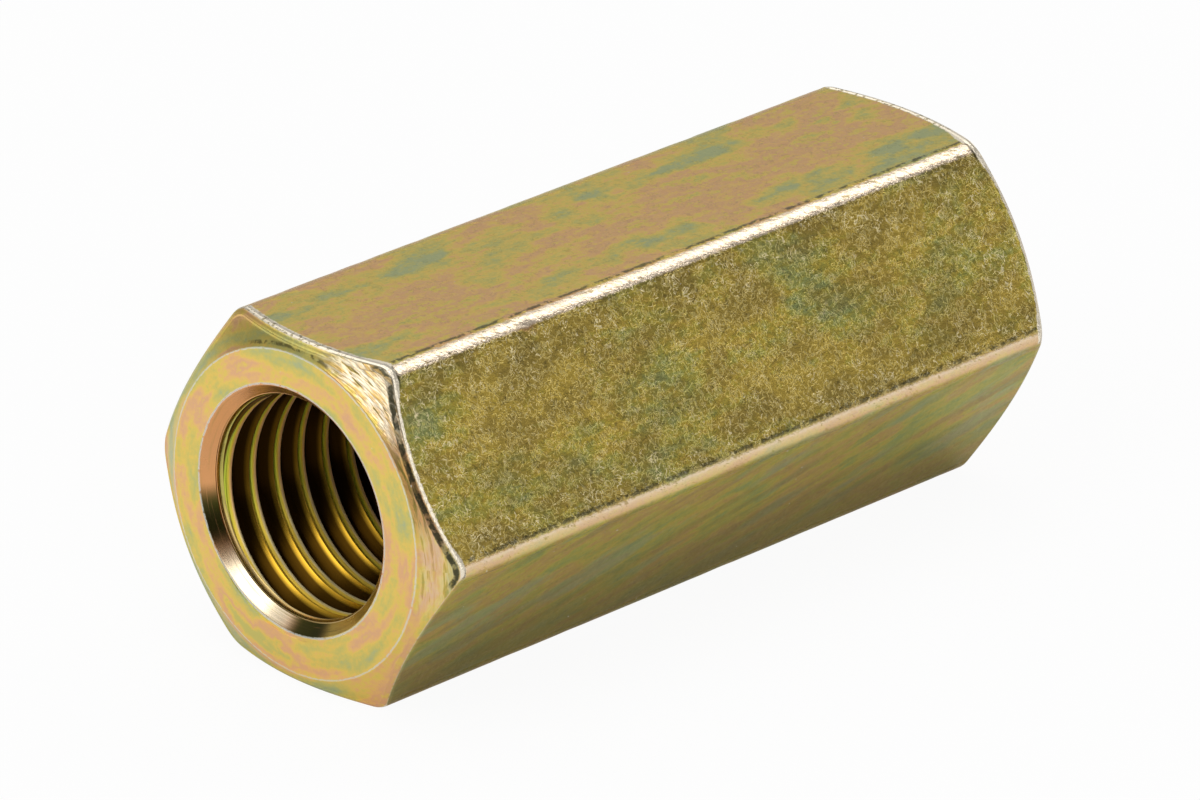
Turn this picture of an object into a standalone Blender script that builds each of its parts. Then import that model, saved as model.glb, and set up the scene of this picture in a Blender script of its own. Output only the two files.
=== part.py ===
"""Deep hex nut: a long hexagon nut, chamfered at both ends, countersunk and threaded right through.

Units are metres, +Z is up. The thread's axis lies along X, with the origin on it at half the nut's
length. One flat faces down, so the nut lies on it as on a bench.
"""

import math

import bmesh
import bpy
from mathutils import Vector

# Hexagon bar
ACROSS_FLATS = 0.022
LENGTH = 0.053
CORNER_RADIUS = 0.0014  # the drawn bar's rounded long edges
FLAT_WALL = 0.003  # metal left between the thread's roots and each flat

# End chamfers: a cone that takes the corners off and leaves a round flat face
FACE_SETBACK = 0.0008  # from the plane of a flat in to the rim of the round end face
CHAMFER_ANGLE = math.radians(31)  # between the cone and the end face

# Thread: right-hand, 60 degree metric profile
THREAD_DIAMETER = ACROSS_FLATS - 2 * FLAT_WALL  # major diameter, at the roots of a nut's thread
THREAD_PITCH = 0.002
THREAD_START = 0.00115  # from the near end face in to where a crest begins on the +Y side
FLANK_ANGLE = math.radians(30)  # of each flank, from a plane square to the axis
CREST_SHARE = 1 / 4  # the crest's flat, as a share of the pitch
ROOT_SHARE = 1 / 8  # the root's flat, as a share of the pitch

# Countersinks at both mouths of the thread
MOUTH_CLEARANCE = 0.00004  # radius of the mouth beyond the thread's roots
COUNTERSINK_ANGLE = math.radians(90)  # the whole angle of the cone

# Fineness of the round surfaces
CORNER_STEPS = 6
ROUND_STEPS = 84
THREAD_STEPS = 30  # in each turn of the thread

# Plating, as seen in plain light
PLATING_COLOUR = (0.50, 0.36, 0.14, 1.0)
PLATING_ROUGHNESS = 0.32
PLATING_METALLIC = 1.0

# What follows from the driving dimensions
FLAT_RADIUS = ACROSS_FLATS / 2
CORNER_REACH = (FLAT_RADIUS - CORNER_RADIUS) / math.cos(math.pi / 6) + CORNER_RADIUS
FACE_RADIUS = FLAT_RADIUS - FACE_SETBACK
ROOT_RADIUS = THREAD_DIAMETER / 2
THREAD_DEPTH = THREAD_PITCH * (1 - CREST_SHARE - ROOT_SHARE) / 2 / math.tan(FLANK_ANGLE)
CREST_RADIUS = ROOT_RADIUS - THREAD_DEPTH
MOUTH_RADIUS = ROOT_RADIUS + MOUTH_CLEARANCE
OVERRUN = 1.3 * THREAD_PITCH  # how far each cutter runs past the end face that it cuts


def clear_scene():
    """Takes away whatever the file opened with."""
    for obj in list(bpy.data.objects):
        bpy.data.objects.remove(obj, do_unlink=True)


def plating():
    """The yellow chromate over zinc."""
    material = bpy.data.materials.new("yellow_zinc_plating")
    material.use_nodes = True
    shader = material.node_tree.nodes["Principled BSDF"]
    shader.inputs["Base Color"].default_value = PLATING_COLOUR
    shader.inputs["Roughness"].default_value = PLATING_ROUGHNESS
    shader.inputs["Metallic"].default_value = PLATING_METALLIC
    return material


def add_object(name, bm):
    """Turns a bmesh into a named object with its faces pointing out."""
    bmesh.ops.recalc_face_normals(bm, faces=bm.faces)
    mesh = bpy.data.meshes.new(name)
    bm.to_mesh(mesh)
    bm.free()
    obj = bpy.data.objects.new(name, mesh)
    bpy.context.collection.objects.link(obj)
    return obj


def add_cutter(name, bm):
    """An object that only shapes another one, drawn as wire and left out of a render."""
    cutter = add_object(name, bm)
    cutter.display_type = "WIRE"
    cutter.hide_render = True
    return cutter


def rounded_hexagon():
    """The bar's section as (y, z) points, with a flat facing up and one facing down."""
    centre_reach = CORNER_REACH - CORNER_RADIUS
    points = []
    for corner in range(6):
        middle = corner * math.pi / 3
        for step in range(CORNER_STEPS + 1):
            angle = middle + (step / CORNER_STEPS - 0.5) * math.pi / 3
            points.append(
                (
                    centre_reach * math.cos(middle) + CORNER_RADIUS * math.cos(angle),
                    centre_reach * math.sin(middle) + CORNER_RADIUS * math.sin(angle),
                )
            )
    return points


def hexagon_bar():
    """The bar, cut to length: its section pushed along X."""
    bm = bmesh.new()
    ring = [bm.verts.new((-LENGTH / 2, y, z)) for y, z in rounded_hexagon()]
    end = bm.faces.new(ring)
    pushed = bmesh.ops.extrude_face_region(bm, geom=[end])["geom"]
    moved = [item for item in pushed if isinstance(item, bmesh.types.BMVert)]
    bmesh.ops.translate(bm, verts=moved, vec=Vector((LENGTH, 0, 0)))
    return add_object("deep_hex_nut", bm)


def turned(profile):
    """A bmesh turned about X from (x, radius) points, whose first and last points lie on the axis."""
    bm = bmesh.new()
    points = [bm.verts.new((x, 0, radius)) for x, radius in profile]
    line = [bm.edges.new(pair) for pair in zip(points, points[1:])]
    bmesh.ops.spin(
        bm,
        geom=points + line,
        cent=(0, 0, 0),
        axis=(1, 0, 0),
        angle=math.tau,
        steps=ROUND_STEPS,
        use_merge=True,
    )
    bmesh.ops.remove_doubles(bm, verts=bm.verts, dist=THREAD_PITCH / 1000)
    return bm


def chamfer_blank():
    """A turned body that keeps the round end faces and cones of the nut, and clears its long edges."""
    beyond = CORNER_REACH + CORNER_RADIUS
    half = LENGTH / 2
    shoulder = half - (beyond - FACE_RADIUS) * math.tan(CHAMFER_ANGLE)
    profile = [
        (-half, 0),
        (-half, FACE_RADIUS),
        (-shoulder, beyond),
        (shoulder, beyond),
        (half, FACE_RADIUS),
        (half, 0),
    ]
    return add_cutter("chamfer_blank", turned(profile))


def countersink(name, side):
    """The cone at one mouth, from the axis out past the end face; side is -1 or 1 along X."""
    slope = math.tan(COUNTERSINK_ANGLE / 2)
    face = LENGTH / 2
    inner = face - MOUTH_RADIUS / slope
    outer = face + OVERRUN
    profile = [
        (side * inner, 0),
        (side * outer, MOUTH_RADIUS + OVERRUN * slope),
        (side * outer, 0),
    ]
    return add_cutter(name, turned(profile))


def thread_profile():
    """One pitch of the tap as (x, radius) points: the nut's crest, then its groove."""
    crest = THREAD_PITCH * CREST_SHARE
    root = THREAD_PITCH * ROOT_SHARE
    flank = (THREAD_PITCH - crest - root) / 2
    return [
        (0, CREST_RADIUS),
        (crest, CREST_RADIUS),
        (crest + flank, ROOT_RADIUS),
        (crest + flank + root, ROOT_RADIUS),
    ]


def tap():
    """The solid that a tap sweeps: the profile run along a right-hand helix, closed at both ends."""
    profile = thread_profile()
    turns_before = math.ceil((OVERRUN + THREAD_START) / THREAD_PITCH) + 1
    start = -LENGTH / 2 + THREAD_START - turns_before * THREAD_PITCH
    turns = turns_before + math.ceil((LENGTH + OVERRUN) / THREAD_PITCH)
    bm = bmesh.new()
    rows = []
    for step in range(turns * THREAD_STEPS + 1):
        angle = math.tau * step / THREAD_STEPS
        along = start + THREAD_PITCH * step / THREAD_STEPS
        rows.append(
            [
                bm.verts.new((along + x, radius * math.cos(angle), radius * math.sin(angle)))
                for x, radius in profile
            ]
        )
    for step in range(len(rows) - 1):
        for near, far in zip(range(len(profile) - 1), range(1, len(profile))):
            bm.faces.new((rows[step][near], rows[step][far], rows[step + 1][far], rows[step + 1][near]))
    # The last flank of each turn ends on the first crest of the next turn
    for step in range(len(rows) - 1 - THREAD_STEPS):
        after = step + THREAD_STEPS
        bm.faces.new((rows[step][-1], rows[after][0], rows[after + 1][0], rows[step + 1][-1]))
    first_turn = [row[0] for row in rows[: THREAD_STEPS + 1]]
    last_turn = [row[-1] for row in rows[-THREAD_STEPS - 1 :]]
    close_end(bm, first_turn + rows[0][:0:-1], start)
    close_end(bm, last_turn + rows[-1][:-1][::-1], start + THREAD_PITCH * (turns + 1))
    return add_cutter("tap", bm)


def close_end(bm, loop, x):
    """A fan from a point on the axis to an open loop of vertices."""
    hub = bm.verts.new((x, 0, 0))
    for here, after in zip(loop, loop[1:] + loop[:1]):
        bm.faces.new((hub, here, after))


def cut(obj, operation, tool):
    """Adds an exact Boolean to the object."""
    modifier = obj.modifiers.new(tool.name, "BOOLEAN")
    modifier.operation = operation
    modifier.solver = "EXACT"
    modifier.object = tool


def machine(obj, tools):
    """Makes the cuts final, then clears the tools away."""
    graph = bpy.context.evaluated_depsgraph_get()
    finished = bpy.data.meshes.new_from_object(obj.evaluated_get(graph))
    obj.modifiers.clear()
    obj.data = finished
    for tool in tools:
        bpy.data.objects.remove(tool, do_unlink=True)


def main():
    clear_scene()
    nut = hexagon_bar()
    blank = chamfer_blank()
    tools = [tap(), countersink("countersink_near", -1), countersink("countersink_far", 1)]
    cut(nut, "INTERSECT", blank)
    for tool in tools:
        cut(nut, "DIFFERENCE", tool)
    machine(nut, [blank, *tools])
    nut.data.name = nut.name
    nut.data.materials.clear()
    nut.data.materials.append(plating())
    nut.data.shade_smooth()
    nut.data.set_sharp_from_angle(angle=math.radians(20))


main()
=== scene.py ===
"""Looks of the deep hex nut: a long hexagon nut in yellow chromated zinc, lying on a pale floor.

Lengths are metres and +Z is up, as in the frame. The thread's axis lies along X and the near end, the one
that the camera sees, faces -X.
"""

import logging
import math
from dataclasses import dataclass, field
from enum import Enum
from typing import Any, Iterable, Mapping, Sequence

import bmesh
import bpy
from mathutils import Matrix, Vector, noise


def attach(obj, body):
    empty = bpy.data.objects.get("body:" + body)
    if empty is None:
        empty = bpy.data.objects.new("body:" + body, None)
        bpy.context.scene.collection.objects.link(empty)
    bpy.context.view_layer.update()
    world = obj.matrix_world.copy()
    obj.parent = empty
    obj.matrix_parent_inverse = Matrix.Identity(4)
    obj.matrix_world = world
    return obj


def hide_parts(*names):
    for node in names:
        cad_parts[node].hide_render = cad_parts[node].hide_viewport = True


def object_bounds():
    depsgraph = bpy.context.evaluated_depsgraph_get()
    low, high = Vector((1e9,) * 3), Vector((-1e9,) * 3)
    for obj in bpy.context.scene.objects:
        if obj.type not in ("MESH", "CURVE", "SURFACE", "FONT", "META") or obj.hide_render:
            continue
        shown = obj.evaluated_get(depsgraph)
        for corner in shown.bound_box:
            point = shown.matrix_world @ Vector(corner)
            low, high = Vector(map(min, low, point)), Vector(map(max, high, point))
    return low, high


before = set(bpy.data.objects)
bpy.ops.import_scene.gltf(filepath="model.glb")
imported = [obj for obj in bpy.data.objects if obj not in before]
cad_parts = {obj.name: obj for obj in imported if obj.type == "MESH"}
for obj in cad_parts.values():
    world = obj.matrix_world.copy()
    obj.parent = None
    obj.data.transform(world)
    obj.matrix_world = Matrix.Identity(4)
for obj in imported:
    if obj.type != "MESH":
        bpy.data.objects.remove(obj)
CAD_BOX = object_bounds()

MM = 0.001
Point = tuple[float, float]
Triple = tuple[float, float, float]
Colour = Triple
Edge = tuple[float, float]
Sector = Triple
Band = Triple
Stop = tuple[float, Colour]
log = logging.getLogger("deep_hex_nut")


class Side(Enum):
    """The two ends of the nut, as directions along X."""

    NEAR = -1
    FAR = 1


class Flat(Enum):
    """The six flats, as the angle of each one's outward normal, from +Y towards +Z, in degrees."""

    BACK_UPPER = 30
    TOP = 90
    FRONT = 150
    LOWER = 210
    RESTING = 270
    BACK_LOWER = 330

    @property
    def normal(self) -> Point:
        """The outward normal as its Y and Z parts."""
        return math.cos(math.radians(self.value)), math.sin(math.radians(self.value))


def fillet(before: Point, corner: Point, after: Point, radius: float, steps: int) -> list[Point]:
    """Rounds one corner of a line with an arc.

    Args:
        before: The point ahead of the corner.
        corner: The sharp corner itself.
        after: The point behind the corner.
        radius: The arc's radius.
        steps: How many straight pieces stand for the arc.

    Returns:
        The arc's points, from the side of ``before`` to the side of ``after``.
    """
    middle = Vector(corner)
    towards = (Vector(before) - middle).normalized()
    away = (Vector(after) - middle).normalized()
    half = towards.angle(away) / 2
    centre = middle + (towards + away).normalized() * (radius / math.sin(half))
    start = middle + towards * (radius / math.tan(half)) - centre
    finish = middle + away * (radius / math.tan(half)) - centre
    sweep = start.angle(finish)
    points = []
    for step in range(steps + 1):
        share = step / steps
        mix = start * math.sin((1 - share) * sweep) + finish * math.sin(share * sweep)
        points.append(tuple(centre + mix / math.sin(sweep)))
    return points


@dataclass
class HexBar:
    """The bar with its chamfered ends: a rounded hexagon whose corners a cone takes off at each end."""

    across_flats: float = 22.0 * MM
    length: float = 53.0 * MM
    corner_radius: float = 1.4 * MM
    face_setback: float = 0.8 * MM
    chamfer_angle: float = math.radians(31)
    rim_radius: float = 0.16 * MM
    lip_radius: float = 0.42 * MM
    lip_groove_depth: float = 0.05 * MM
    lip_groove_width: float = 0.3 * MM
    seam_depth: float = 0.03 * MM
    seam_width: float = 0.22 * MM
    seam_offset: float = 0.16 * MM
    seam_wander: float = 0.5
    wander_scale: float = 0.9
    roughness_scale: float = 2.3
    nick_place: float = -14.2 * MM
    nick_angle: float = math.radians(122)
    nick_length: float = 1.1 * MM
    nick_width: float = 0.9 * MM
    nick_depth: float = 0.12 * MM
    nick_slant: float = 0.4
    dent_depth: float = 0.03 * MM
    dents_along: float = 0.55
    dents_round: float = 9.0
    corner_steps: int = 6
    round_steps: int = 5
    cone_steps: int = 6
    groove_steps: int = 8
    seam_steps: int = 5
    flat_steps: int = 8
    station_gap: float = 0.4 * MM

    @property
    def half(self) -> float:
        """Half the length."""
        return self.length / 2

    @property
    def flat_radius(self) -> float:
        """From the axis to a flat."""
        return self.across_flats / 2

    @property
    def face_radius(self) -> float:
        """Radius of the round end face."""
        return self.flat_radius - self.face_setback

    @property
    def centre_reach(self) -> float:
        """From the axis to the centre of a rounded corner."""
        return (self.flat_radius - self.corner_radius) / math.cos(math.pi / 6)

    @property
    def tangent_angle(self) -> float:
        """From the middle of a corner to where its rounding ends.

        Returns:
            The angle about the axis, in radians.
        """
        across = self.corner_radius * math.sin(math.pi / 6)
        along = self.centre_reach + self.corner_radius * math.cos(math.pi / 6)
        return math.atan2(across, along)

    def from_corner(self, angle: float) -> float:
        """The angle from the nearest corner, signed, within 30 degrees either way."""
        wedge = math.pi / 3
        return angle - round(angle / wedge) * wedge

    def reach(self, angle: float) -> float:
        """The section's radius in one direction.

        Args:
            angle: The direction about the axis, from +Y towards +Z, in radians.

        Returns:
            The distance from the axis to the rounded hexagon.
        """
        off = abs(self.from_corner(angle))
        if off < self.tangent_angle:
            sideways = self.centre_reach * math.sin(off)
            return self.centre_reach * math.cos(off) + math.sqrt(self.corner_radius**2 - sideways**2)
        return self.flat_radius / math.cos(math.pi / 6 - off)

    def angles(self) -> list[float]:
        """The directions of the mesh's columns, closest together round the corners and their seams.

        Returns:
            Angles about the axis, in radians.
        """
        seam = (self.seam_offset + self.seam_width) / self.flat_radius
        offsets = [self.tangent_angle * step / self.corner_steps for step in range(self.corner_steps)]
        offsets += [self.tangent_angle + seam * step / self.seam_steps for step in range(self.seam_steps)]
        start = self.tangent_angle + seam
        offsets += [
            start + (math.pi / 6 - start) * step / self.flat_steps for step in range(self.flat_steps + 1)
        ]
        sector = [-off for off in reversed(offsets[1:-1])] + offsets
        return [corner * math.pi / 3 + off for corner in range(6) for off in sector]

    def seam(self, angle: float, x: float) -> float:
        """How deep the drawn bar's seam beside each corner lies at one point.

        Args:
            angle: The direction about the axis, in radians.
            x: The place along the axis.

        Returns:
            The depth, which wanders along the bar and is nought away from the seams.
        """
        beyond = (abs(self.from_corner(angle)) - self.tangent_angle) * self.flat_radius
        side = 1.0 if self.from_corner(angle) > 0 else -1.0
        corner = round(angle / (math.pi / 3)) * 7.0 + side * 3.0
        along = x / MM
        wander = noise.noise(Vector((along * self.wander_scale, corner, 0.5)))
        wander *= self.seam_wander * self.seam_width
        distance = abs(beyond - self.seam_offset - wander) / (self.seam_width / 2)
        if distance >= 1:
            return 0.0
        rough = 0.7 + 0.6 * noise.noise(Vector((along * self.roughness_scale, corner, 3.1)))
        return self.seam_depth * rough * (1 + math.cos(math.pi * distance)) / 2

    def wear(self, angle: float, x: float) -> float:
        """How far knocks have pressed the corners in at one point.

        Args:
            angle: The direction about the axis, in radians.
            x: The place along the axis.

        Returns:
            The depth: small dents all along the corners, and one nick.
        """
        off = abs(self.from_corner(angle)) / self.tangent_angle
        place = Vector((x / MM * self.dents_along, angle * self.dents_round, 4.2))
        dents = max(0.0, noise.noise(place)) * self.dent_depth * max(0.0, 1.3 - off)
        across = (angle - self.nick_angle) * self.centre_reach / self.nick_width
        along = (x - self.nick_place - across * self.nick_slant * MM) / self.nick_length
        return dents + self.nick_depth * math.exp(-4 * (across * across + along * along))

    def end_profile(self, reach: float) -> list[Point]:
        """The line from the round end face over the chamfer onto the bar, in one direction.

        Args:
            reach: The section's radius in that direction.

        Returns:
            Points as (distance in from the end, radius), from the face's flat out to the bar.
        """
        slope = math.tan(self.chamfer_angle)
        edge = ((reach - self.face_radius) * slope, reach)
        rim = (0.0, self.face_radius)
        points = fillet((0.0, 0.0), rim, edge, self.rim_radius, self.round_steps)
        along = Vector((edge[0] - rim[0], edge[1] - rim[1]))
        out = Vector((-along.y, along.x)).normalized()
        total = along.length
        along.normalize()
        groove_end = total - self.lip_radius * math.tan(self.chamfer_angle)
        groove_start = groove_end - self.lip_groove_width
        first = self.rim_radius
        for step in range(1, self.cone_steps):
            at = first + (groove_start - first) * step / self.cone_steps
            points.append(tuple(Vector(rim) + along * at))
        for step in range(self.groove_steps - 1):
            at = groove_start + self.lip_groove_width * step / self.groove_steps
            dip = self.lip_groove_depth * (1 - math.cos(math.tau * step / self.groove_steps)) / 2
            points.append(tuple(Vector(rim) + along * at + out * dip))
        beyond = (edge[0] + self.lip_radius, reach)
        points += fillet(rim, edge, beyond, self.lip_radius, self.round_steps)
        return points

    def stations(self, near: float) -> list[float]:
        """Places along the bar between the two chamfers, the same number in each direction.

        Args:
            near: How far in the chamfer's lip ends, in this direction.

        Returns:
            Places as distances in from the near end.
        """
        count = round(self.length / self.station_gap)
        run = self.length - 2 * near
        return [near + run * step / count for step in range(1, count)]

    def mesh(self) -> bmesh.types.BMesh:
        """Builds the bar.

        Returns:
            The closed bar, with a plain disc at each end.
        """
        bm = bmesh.new()
        columns = []
        for angle in self.angles():
            reach = self.reach(angle)
            end = self.end_profile(reach)
            points = [(-self.half + x, radius) for x, radius in end]
            for x in self.stations(end[-1][0]):
                place = x - self.half
                points.append((place, reach - self.seam(angle, place) - self.wear(angle, place)))
            points += [(self.half - x, radius) for x, radius in reversed(end)]
            across = (math.cos(angle), math.sin(angle))
            columns.append([bm.verts.new((x, r * across[0], r * across[1])) for x, r in points])
        for column, after in zip(columns, columns[1:] + columns[:1]):
            for row in range(len(column) - 1):
                bm.faces.new((column[row], column[row + 1], after[row + 1], after[row]))
        bm.faces.new([column[0] for column in columns])
        bm.faces.new([column[-1] for column in columns])
        return bm


@dataclass
class Thread:
    """The right-hand 60 degree thread, as the solid that a tap sweeps."""

    diameter: float = 16.0 * MM
    pitch: float = 2.0 * MM
    start: float = 1.10 * MM
    flank_angle: float = math.radians(30)
    crest_share: float = 0.30
    root_share: float = 1 / 8
    crest_ridge: float = 0.08 * MM
    crest_valley: float = 0.17 * MM
    crest_rounding: float = 0.035 * MM
    root_rounding: float = 0.09 * MM
    steps: int = 90

    @property
    def root_radius(self) -> float:
        """From the axis to the thread's roots."""
        return self.diameter / 2

    @property
    def crest_radius(self) -> float:
        """From the axis to the thread's crests."""
        flanks = self.pitch * (1 - self.crest_share - self.root_share)
        return self.root_radius - flanks / 2 / math.tan(self.flank_angle)

    def section(self) -> list[Point]:
        """One pitch of the thread, from the middle of one crest to the next.

        Each crest is split, as forming leaves it: two ridges with a valley between them.

        Returns:
            Points as (x, radius).
        """
        half = self.pitch * self.crest_share / 2
        root = self.pitch * self.root_share
        flank = (self.pitch - 2 * half - root) / 2
        ridge = half - self.crest_ridge
        valley = (-half * 0.24, self.crest_radius + self.crest_valley)
        corners = [
            valley,
            (ridge, self.crest_radius),
            (half, self.crest_radius),
            (half + flank, self.root_radius),
            (half + flank + root, self.root_radius),
            (self.pitch - half, self.crest_radius),
            (self.pitch - ridge, self.crest_radius),
            (self.pitch + valley[0], valley[1]),
            (self.pitch + ridge, self.crest_radius),
        ]
        share = -valley[0] / (ridge - valley[0])
        points = [(0.0, valley[1] + (self.crest_radius - valley[1]) * share)]
        for before, corner, after in zip(corners, corners[1:], corners[2:]):
            rounding = self.root_rounding if corner[1] == self.root_radius else self.crest_rounding
            points += fillet(before, corner, after, rounding, 1)
        return points

    def tap(self, bar_length: float, overrun: float) -> bmesh.types.BMesh:
        """The swept solid, closed at both ends.

        Args:
            bar_length: The length of the nut that it goes through.
            overrun: How far it runs past each end of the nut.

        Returns:
            The solid, centred on the nut.
        """
        section = self.section()
        before = math.ceil((overrun + self.start) / self.pitch) + 1
        middle = self.start + self.pitch * self.crest_share / 2
        start = middle - bar_length / 2 - before * self.pitch
        turns = before + math.ceil((bar_length + overrun) / self.pitch)
        bm = bmesh.new()
        rows = []
        for step in range(turns * self.steps + 1):
            angle = math.tau * step / self.steps
            along = start + self.pitch * step / self.steps
            across = (math.cos(angle), math.sin(angle))
            rows.append([bm.verts.new((along + x, r * across[0], r * across[1])) for x, r in section])
        for row, after in zip(rows, rows[1:]):
            for near in range(len(section) - 1):
                bm.faces.new((row[near], row[near + 1], after[near + 1], after[near]))
        # The last point of each turn meets the first point of the next turn
        for step in range(len(rows) - 1 - self.steps):
            row, after = rows[step], rows[step + 1]
            later, last = rows[step + self.steps], rows[step + self.steps + 1]
            bm.faces.new((row[-1], later[0], last[0], after[-1]))
        first_turn = [row[0] for row in rows[: self.steps + 1]]
        last_turn = [row[-1] for row in rows[-self.steps - 1 :]]
        self.close(bm, first_turn + rows[0][:0:-1], start)
        self.close(bm, last_turn + rows[-1][:-1][::-1], start + self.pitch * (turns + 1))
        return bm

    def close(self, bm: bmesh.types.BMesh, loop: Sequence[bmesh.types.BMVert], x: float) -> None:
        """Adds a fan from a point on the axis to an open end of the sweep.

        Args:
            bm: The mesh.
            loop: The open end's vertices, in order.
            x: Where on the axis the fan's point lies.
        """
        hub = bm.verts.new((x, 0, 0))
        for here, after in zip(loop, list(loop[1:]) + [loop[0]]):
            bm.faces.new((hub, here, after))


@dataclass
class Countersink:
    """The cone at each mouth of the thread, with its edge broken against the end face."""

    mouth_radius: float = 7.74 * MM
    off_centre: tuple[float, float] = (0.25 * MM, 0.12 * MM)
    angle: float = math.radians(90)
    edge_radius: float = 0.16 * MM
    overrun: float = 2.0 * MM
    ledge_depth: float = 1.08 * MM
    ledge_reach: float = 0.7 * MM
    cone_depth: float = 0.66 * MM
    step_width: float = 0.07 * MM
    step_depth: float = 0.05 * MM
    strip_end: float = 1.0 * MM
    strip_radius: float = 7.0 * MM
    edge_steps: int = 8
    steps: int = 192
    weld: float = 0.001 * MM

    def ledge(self, half: float, side: Side) -> bmesh.types.BMesh:
        """A disc of metal that fills the thread's groove under the mouth, before the cone is cut.

        Args:
            half: Half the nut's length.
            side: Which end it fills.

        Returns:
            The closed disc, in place.
        """
        radius = self.mouth_radius + self.ledge_reach
        skin = 0.03 * MM
        depth = self.ledge_depth - skin
        bm = bmesh.new()
        middle = Matrix.Translation((side.value * (half - skin - depth / 2), *self.off_centre))
        place = middle @ Matrix.Rotation(math.pi / 2, 4, "Y")
        bmesh.ops.create_cone(
            bm,
            cap_ends=True,
            segments=self.steps,
            radius1=radius,
            radius2=radius,
            depth=depth,
            matrix=place,
        )
        return bm

    def mesh(self, half: float, side: Side) -> bmesh.types.BMesh:
        """The turned cutter.

        Args:
            half: Half the nut's length.
            side: Which end it cuts.

        Returns:
            The closed cutter, in place.
        """
        slope = math.tan(self.angle / 2)
        tip = (half - self.mouth_radius / slope, 0.0)
        inner = (half - self.cone_depth, self.mouth_radius - self.cone_depth * slope)
        step = (inner[0] - self.step_width / 2, inner[1] + self.step_depth)
        strip = (inner[0] - self.step_width, inner[1] - self.step_depth)
        end = (half - self.strip_end, self.strip_radius)
        mouth = (half, self.mouth_radius)
        face = (half, self.mouth_radius + self.overrun)
        edge = fillet(inner, mouth, face, self.edge_radius, self.edge_steps)[:-2]
        leaving = Vector(edge[-1]) - Vector(edge[-2])
        beyond = tuple(Vector(edge[-1]) + leaving.normalized() * self.overrun)
        profile = [tip, end, strip, step, inner, *edge, beyond, (beyond[0], 0.0)]
        bm = bmesh.new()
        points = [bm.verts.new((side.value * x, 0, radius)) for x, radius in profile]
        line = [bm.edges.new(pair) for pair in zip(points, points[1:])]
        bmesh.ops.spin(
            bm,
            geom=points + line,
            cent=(0, 0, 0),
            axis=(1, 0, 0),
            angle=math.tau,
            steps=self.steps,
            use_merge=True,
        )
        bmesh.ops.remove_doubles(bm, verts=bm.verts, dist=self.weld)
        bmesh.ops.translate(bm, verts=bm.verts, vec=(0, *self.off_centre))
        return bm


@dataclass(frozen=True)
class Grain:
    """One noise: cells to a millimetre, octaves, roughness, the place's stretch and where spots begin."""

    scale: float
    detail: float = 3.0
    roughness: float = 0.6
    stretch: Triple | None = None
    edge: Edge = (0.4, 0.6)


@dataclass(frozen=True)
class Curls:
    """Short curled lines, read off a twisted noise and broken off where a second noise is low."""

    scale: float
    half_width: float
    twist: float
    cover: float
    detail: float = 1.0
    apart: Triple = (7.0, 3.0, 5.0)
    coarser: float = 0.8
    sparse: float = 0.62
    spread: float = 0.24
    soft: float = 0.07

    @property
    def breaks(self) -> Grain:
        """The second noise, whose threshold falls as more cover is asked."""
        least = self.sparse - self.spread * self.cover
        return Grain(self.scale * self.coarser, 1.0, 0.5, edge=(least, least + self.soft))


class Signal:
    """A shader value that takes part in Python arithmetic, each operation adding its Math node."""

    def __init__(self, graph: "Graph", socket: bpy.types.NodeSocket) -> None:
        """Wraps one output socket of a graph."""
        self.graph = graph
        self.socket = socket

    def __add__(self, other: "Operand") -> "Signal":
        """self + other."""
        return self.graph.math("ADD", self, other)

    def __radd__(self, other: "Operand") -> "Signal":
        """other + self."""
        return self.graph.math("ADD", other, self)

    def __sub__(self, other: "Operand") -> "Signal":
        """self - other."""
        return self.graph.math("SUBTRACT", self, other)

    def __rsub__(self, other: "Operand") -> "Signal":
        """other - self."""
        return self.graph.math("SUBTRACT", other, self)

    def __mul__(self, other: "Operand") -> "Signal":
        """self * other."""
        return self.graph.math("MULTIPLY", self, other)

    def __rmul__(self, other: "Operand") -> "Signal":
        """other * self."""
        return self.graph.math("MULTIPLY", other, self)

    def __truediv__(self, other: "Operand") -> "Signal":
        """self / other."""
        return self.graph.math("DIVIDE", self, other)

    def __neg__(self) -> "Signal":
        """Minus self."""
        return self.graph.math("MULTIPLY", self, -1.0)

    def __abs__(self) -> "Signal":
        """The size of self without its sign."""
        return self.graph.math("ABSOLUTE", self)


Operand = Signal | float
Coat = tuple[Signal, Any]
Settings = Mapping[str, Any]
Values = Mapping[str | int, Any]


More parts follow.
